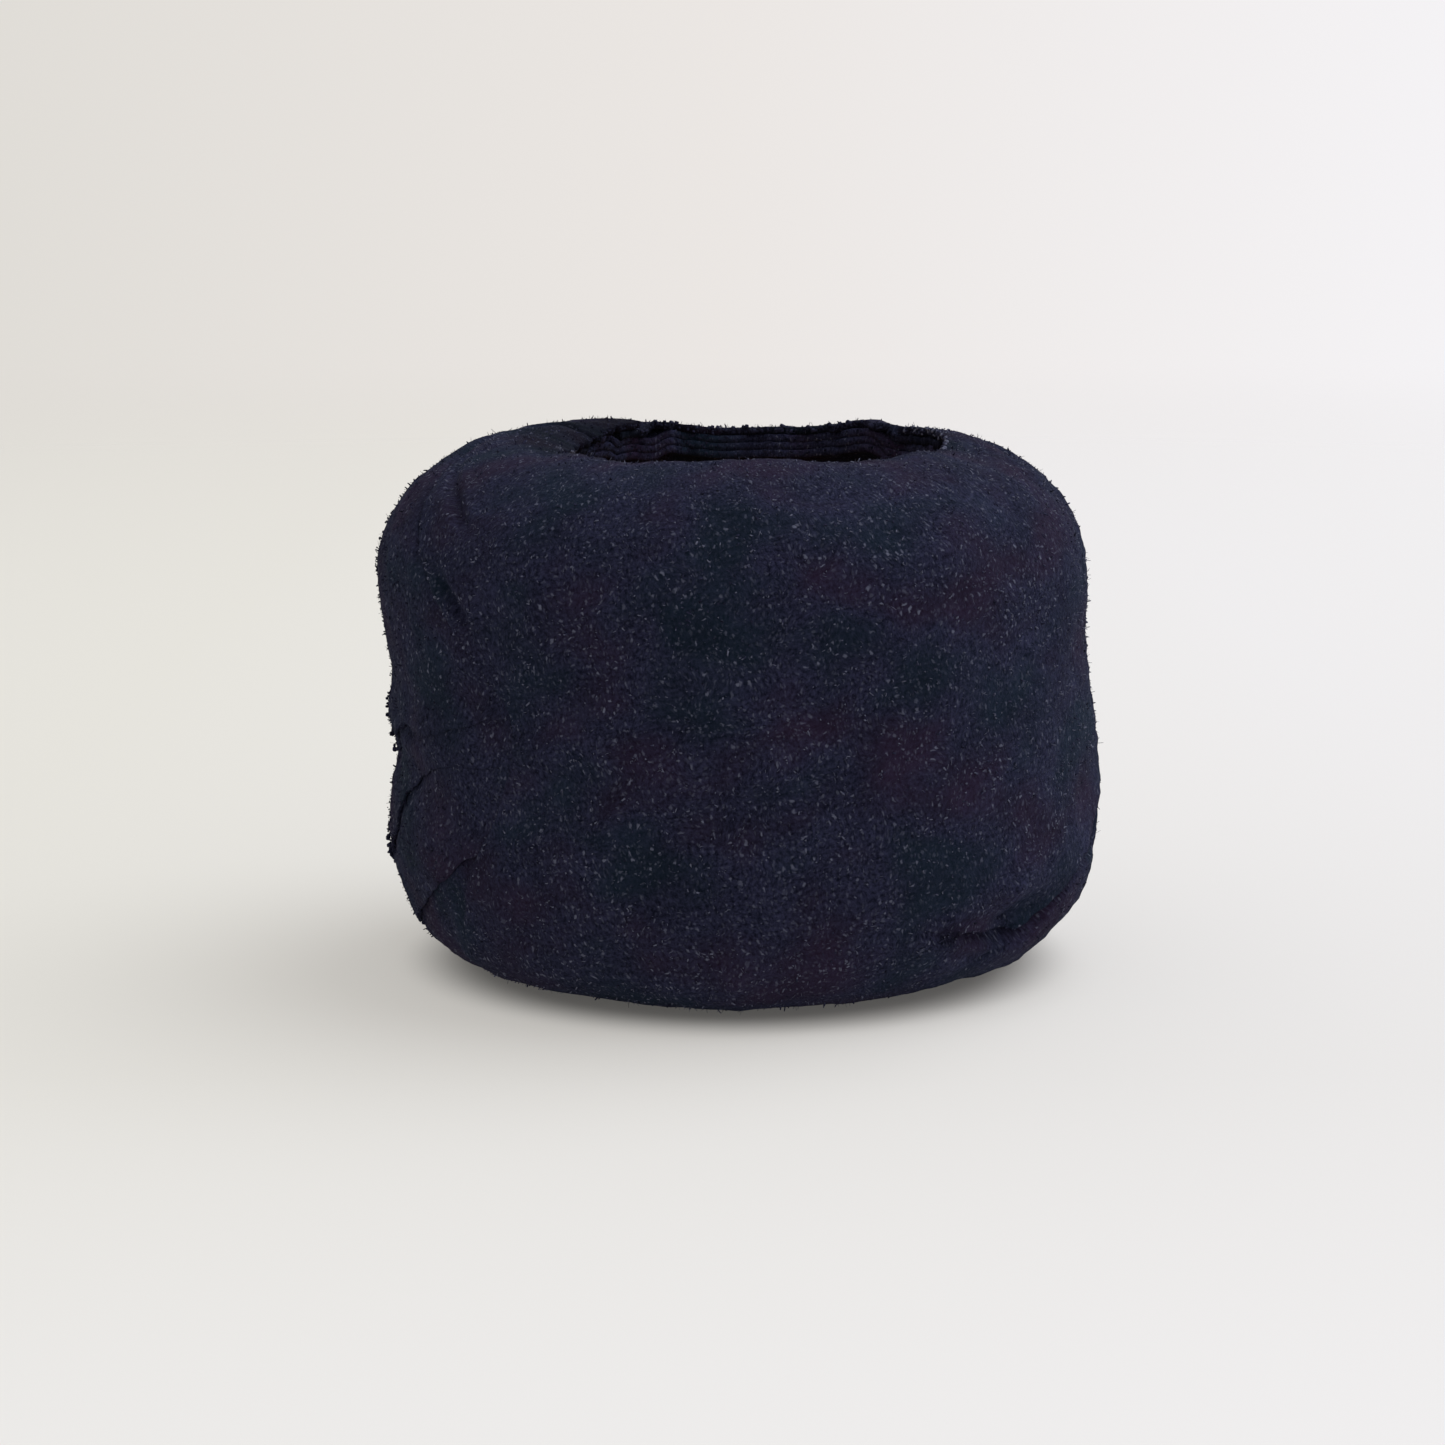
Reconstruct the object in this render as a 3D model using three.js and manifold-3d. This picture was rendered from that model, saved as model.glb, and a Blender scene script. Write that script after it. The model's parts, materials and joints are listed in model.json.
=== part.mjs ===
// A rosin cake in its wound cloth wrap: a cast rosin block on a card disc, inside strips of
// raw-edged cloth that are wound round it and leave a round mouth open on top.
// Millimetres, +Z up, origin at the centre of the flat base. -Y is the front, where the
// broad front strip lies, and azimuths are in degrees from the front, + towards +X.
import * as THREE from 'three';
import * as BufferGeometryUtils from 'three/addons/utils/BufferGeometryUtils.js';
import Module from 'manifold-3d';

const wasm = await Module();
wasm.setup();

// ---- driving dimensions ----
const DRUM_RADIUS = 23;          // outside of the wrap at the waist
const DRUM_HEIGHT = 33.6;        // base to the rim of the mouth
const SHOULDER_WIDTH = 9.2;      // top edge rounding, measured inwards
const SHOULDER_DROP = 8.2;       // top edge rounding, measured downwards
const HEEL_WIDTH = 7.2;          // bottom edge rounding, measured inwards
const HEEL_RISE = 9.2;           // bottom edge rounding, measured upwards
const CLOTH = 0.5;               // thickness of one layer of cloth
const GAP = 0.3;                 // clearance between neighbouring pieces
const LAYERS = 5;                // layers of cloth between the outside and the rosin
const CAKE_TOP = 25.5;           // height of the rosin's playing face
const CAKE_TOP_ROUND = 2.2;
const GROOVE_DEPTH = 0.9;        // channel worn across the rosin by the bow hair
const GROOVE_WIDTH = 11;         // the ribbon of bow hair is about 10 mm wide
const GROOVE_TURN = 25;          // azimuth of the channel
const CARD_RADIUS = 14.2;
const LAP = 12;                  // degrees that one strip runs on under the next
const DIP = 6;                   // degrees in which a strip sinks under the next
const SIDE_CLEAR = 1.5;          // degrees between strips that meet side by side

// ---- sizes that follow ----
const PITCH = CLOTH + GAP;
const MOUTH_RADIUS = DRUM_RADIUS - SHOULDER_WIDTH;
const HEEL_RADIUS = DRUM_RADIUS - HEEL_WIDTH;
const SIDE_TOP = DRUM_HEIGHT - SHOULDER_DROP;
const CAKE_RADIUS = DRUM_RADIUS - LAYERS * PITCH;
const CAKE_FOOT = LAYERS * PITCH;
const QUARTER = Math.PI / 2;
const arcLength = (a, b) => QUARTER * Math.sqrt((a * a + b * b) / 2);
const SHOULDER_RUN = arcLength(SHOULDER_WIDTH, SHOULDER_DROP);
const SIDE_RUN = SIDE_TOP - HEEL_RISE;
const HEEL_RUN = arcLength(HEEL_WIDTH, HEEL_RISE);
const HEEL_START = SHOULDER_RUN + SIDE_RUN;
const BASE_START = HEEL_START + HEEL_RUN;
const BASE_END = BASE_START + HEEL_RADIUS;

const rad = THREE.MathUtils.degToRad;
const mix = THREE.MathUtils.lerp;
const step = THREE.MathUtils.smoothstep;

// ---- the drum's outline ----
// run: distance from the mouth, over the shoulder, down the side and in under the base.
// depth: how far inside the outside face the point lies.
function outline(run, depth) {
  if (run < 0) return [MOUTH_RADIUS + run, DRUM_HEIGHT - depth];
  if (run < SHOULDER_RUN) {
    const angle = QUARTER * (1 - run / SHOULDER_RUN);
    return [
      MOUTH_RADIUS + (SHOULDER_WIDTH - depth) * Math.cos(angle),
      SIDE_TOP + (SHOULDER_DROP - depth) * Math.sin(angle),
    ];
  }
  if (run < HEEL_START) return [DRUM_RADIUS - depth, SIDE_TOP - (run - SHOULDER_RUN)];
  if (run < BASE_START) {
    const angle = QUARTER * (run - HEEL_START) / HEEL_RUN;
    return [
      HEEL_RADIUS + (HEEL_WIDTH - depth) * Math.cos(angle),
      HEEL_RISE - (HEEL_RISE - depth) * Math.sin(angle),
    ];
  }
  return [BASE_END - run, depth];
}

// The run at a height on the outside face.
function runAt(height) {
  if (height > SIDE_TOP) {
    const angle = Math.asin(Math.min(1, (height - SIDE_TOP) / SHOULDER_DROP));
    return SHOULDER_RUN * (1 - angle / QUARTER);
  }
  if (height > HEEL_RISE) return SHOULDER_RUN + SIDE_TOP - height;
  return HEEL_START + HEEL_RUN * Math.asin((HEEL_RISE - height) / HEEL_RISE) / QUARTER;
}

// A smooth line through [position, value] pairs.
function through(pairs) {
  const first = pairs[0];
  const last = pairs[pairs.length - 1];
  return (position) => {
    if (position <= first[0]) return first[1];
    if (position >= last[0]) return last[1];
    const i = pairs.findIndex((pair) => pair[0] >= position) - 1;
    const [a, b] = [pairs[i], pairs[i + 1]];
    return mix(a[1], b[1], step(position, a[0], b[0]));
  };
}

// ---- one piece of cloth ----
// side(across, down): azimuth; drop(azimuth, down): run; depth(azimuth, run): layer depth.
// across and down go from 0 to 1. A ring closes on itself; a cup also closes at the axis.
function cloth({ side, drop, depth, columns, rows, ring = false, cup = false }) {
  const positions = [];
  const triangles = [];
  const wide = ring ? columns : columns + 1;
  const deep = cup ? rows : rows + 1;
  const point = (across, down, face) => {
    const azimuth = side(across, down);
    const run = drop(azimuth, down);
    const [radius, height] = outline(run, depth(azimuth, run) + face);
    return [radius * Math.sin(rad(azimuth)), -radius * Math.cos(rad(azimuth)), height];
  };
  for (const face of [0, CLOTH]) {
    for (let j = 0; j < deep; j++) {
      for (let i = 0; i < wide; i++) positions.push(...point(i / columns, j / rows, face));
    }
  }
  const at = (i, j, layer) => layer * wide * deep + j * wide + (i % wide);
  const quad = (a, b, c, d) => triangles.push(a, b, c, a, c, d);
  for (let j = 0; j < deep - 1; j++) {
    for (let i = 0; i < columns; i++) {
      quad(at(i, j, 0), at(i, j + 1, 0), at(i + 1, j + 1, 0), at(i + 1, j, 0));
      quad(at(i, j, 1), at(i + 1, j, 1), at(i + 1, j + 1, 1), at(i, j + 1, 1));
    }
  }
  for (let i = 0; i < columns; i++) {
    quad(at(i, 0, 0), at(i + 1, 0, 0), at(i + 1, 0, 1), at(i, 0, 1));
    if (!cup) {
      const j = deep - 1;
      quad(at(i, j, 0), at(i, j, 1), at(i + 1, j, 1), at(i + 1, j, 0));
    }
  }
  if (!ring) {
    for (let j = 0; j < deep - 1; j++) {
      quad(at(0, j, 0), at(0, j, 1), at(0, j + 1, 1), at(0, j + 1, 0));
      const i = wide - 1;
      quad(at(i, j, 0), at(i, j + 1, 0), at(i, j + 1, 1), at(i, j, 1));
    }
  }
  if (cup) {
    const centres = [0, 1].map((layer) => {
      positions.push(0, 0, depth(0, BASE_END) + layer * CLOTH);
      return positions.length / 3 - 1;
    });
    for (let i = 0; i < columns; i++) {
      triangles.push(at(i, deep - 1, 0), centres[0], at(i + 1, deep - 1, 0));
      triangles.push(at(i, deep - 1, 1), at(i + 1, deep - 1, 1), centres[1]);
    }
  }
  const geometry = new THREE.BufferGeometry();
  geometry.setAttribute('position', new THREE.Float32BufferAttribute(positions, 3));
  geometry.setIndex(triangles);
  geometry.computeVertexNormals();
  return geometry;
}

const allRound = (across) => across * 360;
const layer = (number) => () => number * PITCH;

// Rows of a piece that runs from the mouth to the base: close together round the
// shoulder and the heel, fewer on the straight side, and one on the flat base.
const SHOULDER_ROWS = 6;
const HEEL_ROWS = 5;
const fullRows = (sideRows) => SHOULDER_ROWS + sideRows + HEEL_ROWS + 1;
function fullDrop(down, sideRows, top, heelEnd, end) {
  const row = down * fullRows(sideRows);
  const sideRow = row - SHOULDER_ROWS;
  const heelRow = sideRow - sideRows;
  if (sideRow <= 0) return mix(top, SHOULDER_RUN, row / SHOULDER_ROWS);
  if (heelRow <= 0) return mix(SHOULDER_RUN, HEEL_START, sideRow / sideRows);
  if (heelRow <= HEEL_ROWS) return mix(HEEL_START, heelEnd, heelRow / HEEL_ROWS);
  return mix(heelEnd, end, heelRow - HEEL_ROWS);
}

// ---- edges of the strips, seen from outside ----
// Left edge of the front strip: azimuth by run, bowed towards the front at mid height.
const frontLeft = through([
  [0, -84], [runAt(31), -66], [runAt(26), -53], [runAt(20), -41],
  [runAt(10), -45], [runAt(2.5), -46],
]);
// Right edge of the front strip: azimuth by run, near the top it leans to the back.
const frontRight = through([[0, 126], [runAt(28), 104], [runAt(20), 95], [runAt(8), 93]]);
// Bottom edge of the front strip: in under the base at the front, open at the right.
const UNDER_FRONT = BASE_START + 1.2;
const frontBottom = through([[28, UNDER_FRONT], [46, runAt(5.6)], [93, runAt(8.6)]]);
// Bottom edges of the three strips on the left, one below the other.
const leftBottom = through([[-99, runAt(13.4)], [-70, runAt(17)], [-42, runAt(19.4)]]);
const waistBottom = through([[-99, runAt(6.6)], [-72, runAt(9.6)], [-44, runAt(14)]]);
const lowerBottom = through([[-99, runAt(2.6)], [-72, runAt(4.4)], [-46, runAt(9.4)]]);
const LEFT_END = -98;            // left ends of the three strips
const BACK_BOTTOM = runAt(4.2);
// Azimuths at which a side edge's run is taken, because a run needs an azimuth.
const FRONT_LEFT = -50;
const FRONT_RIGHT = 90;
const LEFT_MIDDLE = -60;

// ---- looks ----
const CLOTH_COLOUR = 0x1b2230;
const ROSIN_COLOUR = 0x8a4a16;
const CARD_COLOUR = 0x9c8464;
const group = new THREE.Group();

function add(name, geometry, color, roughness) {
  const material = new THREE.MeshStandardMaterial({ color, roughness, metalness: 0 });
  const mesh = new THREE.Mesh(geometry, material);
  mesh.name = name;
  group.add(mesh);
}
const addCloth = (name, shape) => add(name, cloth(shape), CLOTH_COLOUR, 0.95);

// ---- rosin block, with the channel worn by the bow ----
function solidOf(geometry) {
  const bare = geometry.clone();
  bare.deleteAttribute('normal');
  bare.deleteAttribute('uv');
  const merged = BufferGeometryUtils.mergeVertices(bare, 1e-4);
  return new wasm.Manifold(new wasm.Mesh({
    numProp: 3,
    vertProperties: merged.attributes.position.array,
    triVerts: new Uint32Array(merged.index.array),
  }));
}

function geometryOf(solid) {
  const mesh = solid.getMesh();
  const geometry = new THREE.BufferGeometry();
  geometry.setAttribute('position', new THREE.Float32BufferAttribute(mesh.vertProperties, 3));
  geometry.setIndex([...mesh.triVerts]);
  geometry.computeVertexNormals();
  return geometry;
}

function rosinBlock() {
  const CORNER_STEPS = 4;
  const profile = [new THREE.Vector2(0, CAKE_FOOT)];
  for (let i = 0; i <= CORNER_STEPS; i++) {
    const run = mix(BASE_START, HEEL_START, i / CORNER_STEPS);
    profile.push(new THREE.Vector2(...outline(run, LAYERS * PITCH)));
  }
  for (let i = 0; i <= CORNER_STEPS; i++) {
    const angle = QUARTER * i / CORNER_STEPS;
    profile.push(new THREE.Vector2(
      CAKE_RADIUS - CAKE_TOP_ROUND * (1 - Math.cos(angle)),
      CAKE_TOP - CAKE_TOP_ROUND * (1 - Math.sin(angle))));
  }
  profile.push(new THREE.Vector2(0, CAKE_TOP));
  const puck = new THREE.LatheGeometry(profile, 36);
  puck.rotateX(QUARTER);
  const grooveRadius = (GROOVE_WIDTH ** 2 / 4 + GROOVE_DEPTH ** 2) / (2 * GROOVE_DEPTH);
  const channel = new THREE.CylinderGeometry(grooveRadius, grooveRadius, 4 * CAKE_RADIUS, 64);
  channel.rotateZ(QUARTER);
  channel.rotateZ(rad(GROOVE_TURN));
  channel.translate(0, 0, CAKE_TOP - GROOVE_DEPTH + grooveRadius);
  return geometryOf(solidOf(puck).subtract(solidOf(channel)));
}
add('rosin_block', rosinBlock(), ROSIN_COLOUR, 0.25);

// ---- card disc that the block stands on ----
const card = new THREE.CylinderGeometry(CARD_RADIUS, CARD_RADIUS, CLOTH, 40);
card.rotateX(QUARTER);
card.translate(0, 0, (LAYERS - 1) * PITCH + CLOTH / 2);
add('backing_disc', card, CARD_COLOUR, 0.9);

// ---- inner wraps: whole turns, each one layer further out ----
// Their upper raw edges end one below the other in the mouth, and their lower edges
// turn in under the card.
const innerWraps = [
  { name: 'first_wrap', number: 4, mouth: 0.9, end: BASE_START + 0.4 },
  { name: 'second_wrap', number: 3, mouth: 0.2, end: BASE_START + 4.5 },
  { name: 'third_wrap', number: 2, mouth: 0.6, end: BASE_START + 8 },
];
for (const { name, number, mouth, end } of innerWraps) {
  addCloth(name, {
    side: allRound,
    drop: (azimuth, down) => fullDrop(down, 1, mouth, BASE_START, end),
    depth: layer(number),
    columns: 30,
    rows: fullRows(1),
    ring: true,
  });
}

// ---- front strip: outermost, over the front and the right side ----
const FRONT_SIDE_ROWS = 5;
function frontDrop(azimuth, down) {
  const bottom = frontBottom(azimuth);
  const heelEnd = mix(HEEL_START, bottom, HEEL_ROWS / (HEEL_ROWS + 1));
  return fullDrop(down, FRONT_SIDE_ROWS, 0, heelEnd, bottom);
}
addCloth('front_wrap', {
  side: (across, down) => {
    const left = frontLeft(frontDrop(FRONT_LEFT, down));
    const right = frontRight(frontDrop(FRONT_RIGHT, down));
    return mix(left, right, across);
  },
  drop: frontDrop,
  depth: layer(0),
  columns: 26,
  rows: fullRows(FRONT_SIDE_ROWS),
});

// ---- left strip: its right end runs on under the front strip ----
addCloth('left_wrap', {
  side: (across, down) => {
    const run = mix(0, leftBottom(LEFT_MIDDLE), down);
    return mix(LEFT_END, frontLeft(run) + LAP, across);
  },
  drop: (azimuth, down) => mix(0, leftBottom(azimuth), down),
  depth: (azimuth, run) => {
    const edge = frontLeft(run) - DIP / 2;
    return PITCH * step(azimuth, edge - DIP, edge);
  },
  columns: 12,
  rows: 10,
});

// ---- waist and lower strips: below the left strip, each showing its raw lower edge ----
const lowerStrips = [
  { name: 'waist_wrap', top: leftBottom, bottom: waistBottom },
  { name: 'lower_wrap', top: waistBottom, bottom: lowerBottom },
];
for (const { name, top, bottom } of lowerStrips) {
  const drop = (azimuth, down) => mix(top(azimuth) + GAP, bottom(azimuth), down);
  addCloth(name, {
    side: (across, down) => {
      const edge = frontLeft(drop(LEFT_MIDDLE, down));
      return mix(LEFT_END, edge - SIDE_CLEAR, across);
    },
    drop,
    depth: layer(0),
    columns: 10,
    rows: 4,
  });
}

// ---- back strip: between the right edge of the front strip and the left strips ----
addCloth('back_wrap', {
  side: (across, down) => {
    const run = mix(0, BACK_BOTTOM, down);
    const start = frontRight(run) - LAP;
    return mix(start, 360 + LEFT_END - SIDE_CLEAR, across);
  },
  drop: (azimuth, down) => mix(0, BACK_BOTTOM, down),
  depth: (azimuth, run) => {
    const edge = frontRight(run) + DIP / 2;
    return PITCH * (1 - step(azimuth, edge, edge + DIP));
  },
  columns: 28,
  rows: 12,
});

// ---- base cloth: a round piece under everything, turned up to meet the strips ----
const signed = (azimuth) => (azimuth > 180 ? azimuth - 360 : azimuth);
const skirtTop = through([
  [-180, BACK_BOTTOM], [-105, BACK_BOTTOM], [-97, runAt(2.6)], [-72, runAt(4)],
  [-56, runAt(6.4)], [-50, UNDER_FRONT], [32, UNDER_FRONT], [50, runAt(5.4)],
  [72, runAt(6.8)], [79, BACK_BOTTOM], [180, BACK_BOTTOM],
]);
const SKIRT_CLEAR = 0.8;         // between the base cloth and the edges above it
const BASE_ROWS = 8;
const FLAT_START = UNDER_FRONT + 2 * SKIRT_CLEAR;
addCloth('base_cloth', {
  side: allRound,
  drop: (azimuth, down) => {
    const top = skirtTop(signed(azimuth)) + SKIRT_CLEAR;
    return mix(top, FLAT_START, down * BASE_ROWS / (BASE_ROWS - 1));
  },
  depth: layer(0),
  columns: 60,
  rows: BASE_ROWS,
  ring: true,
  cup: true,
});

export default group;
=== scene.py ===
"""Looks of a rosin cake in its wound cloth wrap.

Strips of dark flecked cloth are wound round a cast rosin block and leave a round mouth open
on top. Lengths are in millimetres until a mesh is made. Azimuths are in degrees from the
front (-Y), + towards +X. "Run" is the distance along the drum's outline from the rim of the
mouth, over the shoulder, down the side and in under the base.
"""
import json
import math

import bpy
import numpy as np
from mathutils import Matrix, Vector

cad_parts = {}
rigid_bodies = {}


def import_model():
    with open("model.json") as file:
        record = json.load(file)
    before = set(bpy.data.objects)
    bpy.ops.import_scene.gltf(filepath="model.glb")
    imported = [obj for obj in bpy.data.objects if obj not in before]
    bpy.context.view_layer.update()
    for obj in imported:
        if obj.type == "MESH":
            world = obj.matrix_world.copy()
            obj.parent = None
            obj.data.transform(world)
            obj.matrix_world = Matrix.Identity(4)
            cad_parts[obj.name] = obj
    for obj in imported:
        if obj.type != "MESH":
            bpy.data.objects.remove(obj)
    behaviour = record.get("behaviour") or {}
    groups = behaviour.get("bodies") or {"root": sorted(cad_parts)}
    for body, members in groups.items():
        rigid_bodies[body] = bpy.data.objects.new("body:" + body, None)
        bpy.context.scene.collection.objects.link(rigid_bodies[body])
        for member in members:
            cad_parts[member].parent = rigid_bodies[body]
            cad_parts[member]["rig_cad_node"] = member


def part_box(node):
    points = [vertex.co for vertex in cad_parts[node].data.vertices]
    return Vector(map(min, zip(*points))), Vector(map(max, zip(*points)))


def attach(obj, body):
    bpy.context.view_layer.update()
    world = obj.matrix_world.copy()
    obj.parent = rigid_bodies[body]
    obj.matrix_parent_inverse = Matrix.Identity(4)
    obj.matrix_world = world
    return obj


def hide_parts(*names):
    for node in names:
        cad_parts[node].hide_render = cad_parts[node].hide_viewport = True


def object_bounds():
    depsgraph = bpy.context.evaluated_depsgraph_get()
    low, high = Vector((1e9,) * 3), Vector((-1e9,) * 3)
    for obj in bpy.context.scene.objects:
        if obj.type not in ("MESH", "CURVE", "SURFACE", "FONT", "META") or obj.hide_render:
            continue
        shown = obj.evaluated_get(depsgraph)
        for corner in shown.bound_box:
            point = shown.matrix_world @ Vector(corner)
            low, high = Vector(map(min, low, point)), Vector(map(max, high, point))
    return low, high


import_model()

MM = 0.001
CAD_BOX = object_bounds()

# ---- driving dimensions, from the frame where it gives them ----
RADIUS = (CAD_BOX[1].x - CAD_BOX[0].x) / 2 / MM
HEIGHT = CAD_BOX[1].z / MM
SHOULDER_WIDTH = 0.4 * RADIUS
SHOULDER_DROP = 0.245 * HEIGHT
HEEL_WIDTH = 0.31 * RADIUS
HEEL_RISE = 0.275 * HEIGHT
HEEL_POWER = 2.3           # 2 is a quarter ellipse, more is boxier
MOUTH_RADIUS = RADIUS - SHOULDER_WIDTH
LIP_IN = 5.0               # how far the outline runs on inside the mouth
LIP_DIP = 1.7              # and how far it dips there
CLOTH = 0.5                # thickness of the cloth
PITCH = 0.6                # from one layer of cloth to the next
LAP_CLOTH = 0.22           # thickness of the thin strips on the left, and of pressed edges
PRESSED = 0.05             # thickness where an edge is pressed flat and fades out
SLACK = 0.06               # between a strip and the edge that lies on it
GRID = 0.24                # spacing of the points that make a strip's surface


# ================= curves and noise =================

def line_through(points):
    """A smooth function through (position, value) points, level beyond both ends."""
    position, value = (np.array(column, float) for column in zip(*sorted(points)))
    slope = np.gradient(value, position)
    slope[0] = slope[-1] = 0.0

    def at(x):
        x = np.clip(x, position[0], position[-1])
        i = np.clip(np.searchsorted(position, x) - 1, 0, len(position) - 2)
        width = position[i + 1] - position[i]
        t = (x - position[i]) / width
        return ((2 * t**3 - 3 * t**2 + 1) * value[i] + (t**3 - 2 * t**2 + t) * width * slope[i]
                + (3 * t**2 - 2 * t**3) * value[i + 1] + (t**3 - t**2) * width * slope[i + 1])
    return at


def smoothstep(x, low, high):
    t = np.clip((x - low) / (high - low), 0, 1)
    return t * t * (3 - 2 * t)


def mix(a, b, t):
    return a + (b - a) * t


def wrap(azimuth):
    """The same azimuth, between -180 and 180."""
    return np.mod(azimuth + 180, 360) - 180


def waves(points, wavelength, seed, count=22):
    """Smooth seamless noise about 1 high: the sum of plane waves in random directions."""
    rng = np.random.default_rng(seed)
    total = np.zeros(points.shape[:-1])
    for _ in range(count):
        direction = rng.normal(size=3)
        direction /= np.linalg.norm(direction)
        turns = 2 * math.pi / (wavelength * rng.uniform(0.75, 1.35))
        total += np.cos(points @ direction * turns + rng.uniform(0, 2 * math.pi))
    return total / math.sqrt(count / 2)


# ================= the drum's outline =================

def outline_table():
    """Run, radius, height and outward direction at even steps along the drum's outline.

    It starts LIP_IN inside the mouth, where some cloth runs on past the rim.
    """
    lip = np.linspace(-LIP_IN, 0, 60)[:-1]
    lip = np.stack([MOUTH_RADIUS + lip, HEIGHT - LIP_DIP * (lip / LIP_IN)**2], 1)
    angle = np.linspace(math.pi / 2, 0, 300)
    shoulder = np.stack([MOUTH_RADIUS + SHOULDER_WIDTH * np.cos(angle),
                         HEIGHT - SHOULDER_DROP + SHOULDER_DROP * np.sin(angle)], 1)
    angle = np.linspace(0, math.pi / 2, 400)
    across, down = np.cos(angle)**(2 / HEEL_POWER), np.sin(angle)**(2 / HEEL_POWER)
    heel = np.stack([RADIUS - HEEL_WIDTH + HEEL_WIDTH * across, HEEL_RISE * (1 - down)], 1)
    path = np.concatenate([lip, shoulder, heel, [[0, 0]]])
    steps = np.linalg.norm(np.diff(path, axis=0), axis=1)
    path, steps = path[np.r_[True, steps > 0]], steps[steps > 0]
    run = np.concatenate([[0], np.cumsum(steps)])
    run -= run[len(lip)]
    even = np.arange(run[0], run[-1], 0.05)
    path = np.stack([np.interp(even, run, path[:, k]) for k in range(2)], 1)
    tangent = np.gradient(path, axis=0)
    tangent /= np.linalg.norm(tangent, axis=1, keepdims=True)
    return np.column_stack([even, path, -tangent[:, 1], tangent[:, 0]])


OUTLINE = outline_table()
BASE_END = OUTLINE[-1, 0]
BASE_START = BASE_END - (RADIUS - HEEL_WIDTH)


def outline(run):
    return [np.interp(run, OUTLINE[:, 0], OUTLINE[:, column]) for column in range(1, 5)]


def run_at(height):
    """The run at a height on the outside."""
    outside = OUTLINE[OUTLINE[:, 0] >= 0][::-1]
    return np.interp(height, outside[:, 2], outside[:, 0])


# How far the real wrap stands out from a true drum, on the left and on the right, by height.
left_swell = line_through([(0, -0.4), (1, -0.75), (2.5, -0.8), (6, -0.7), (9, -0.5), (11.5, -0.8),
                           (13.2, -1.2), (14.3, -1.1), (16, -0.65), (19, -0.75), (22, -0.25),
                           (26, 0.1), (30, 0.15), (33, -0.05)])
right_swell = line_through([(0, -0.3), (1, -0.4), (2.3, -0.5), (4, -0.1), (5.5, 0.15), (8, 0.4),
                            (10, 0.5), (14, 0.38), (18, 0.1), (21, -0.25), (24, -0.25),
                            (27, -0.5), (31, -0.4), (33, -0.25)])
# The rim of the mouth stands a little higher on both far sides than at the very back.
rim_rise = line_through([(-180, 0.1), (-162, 0.3), (-140, 0.8), (-115, 0.7), (-90, 0.35),
                         (-60, 0), (-40, -0.1), (0, 0), (35, -0.1), (95, 0.15), (112, 0.5),
                         (128, 0.65), (144, 0.5), (160, 0), (180, 0.1)])

# Where the cloth's upper edge lies, as a run: on the left it runs on into the mouth.
rim_run = line_through([(-180, 0.05), (-158, -0.5), (-135, -2.2), (-112, -3.3), (-90, -3.4),
                        (-70, -2.2), (-52, -0.4), (-40, 0.05), (60, 0.05), (100, -0.3),
                        (130, 0.05), (180, 0.05)])

# Creases: azimuth and height of each point, greatest depth and half width. A skew below 1 puts
# the deepest place nearer the first point.
CREASES = [
    dict(line=[(-79, 32.9), (-58, 31.2), (-51, 30), (-46, 29.2)], deep=0.42, wide=0.4),
    dict(line=[(-54, 27.4), (-50.5, 26), (-47, 24.8), (-44, 23.4)], deep=0.42, wide=0.4),
    dict(line=[(-41, 27.8), (-34, 26)], deep=0.12, wide=0.5),
    dict(line=[(-44, 23), (-36, 20), (-27, 17.5)], deep=0.12, wide=0.8),
    dict(line=[(-80, 18), (-71, 16.7), (-55, 14.8)], deep=0.16, wide=0.5),
    dict(line=[(56, 6.6), (51, 5.9), (47, 5.4), (42, 5.3)], deep=1.2, wide=1.15),
    dict(line=[(50, 4.7), (46, 4.45), (41, 4.8), (35, 5.4), (26, 6.2)], deep=0.6, wide=0.28,
         skew=0.5),
    dict(line=[(-60, 9.5), (-46, 11.5), (-34, 12.5)], deep=0.18, wide=1.2),
    dict(line=[(-30, 29.5), (-22, 25), (-19, 20)], deep=0.12, wide=1.3),
    dict(line=[(15, 8), (40, 10), (62, 14)], deep=0.12, wide=1.5),
    dict(line=[(100, 29), (112, 24), (118, 17)], deep=0.25, wide=0.8),
    dict(line=[(128, 31), (136, 26), (139, 20)], deep=0.3, wide=0.7),
    dict(line=[(176, 11), (200, 13.5), (222, 18)], deep=0.3, wide=0.8),
    dict(line=[(150, 7), (172, 8.5), (190, 8)], deep=0.25, wide=0.7),
    dict(line=[(216, 31), (226, 27), (240, 24.5)], deep=0.3, wide=0.7),
]


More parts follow.
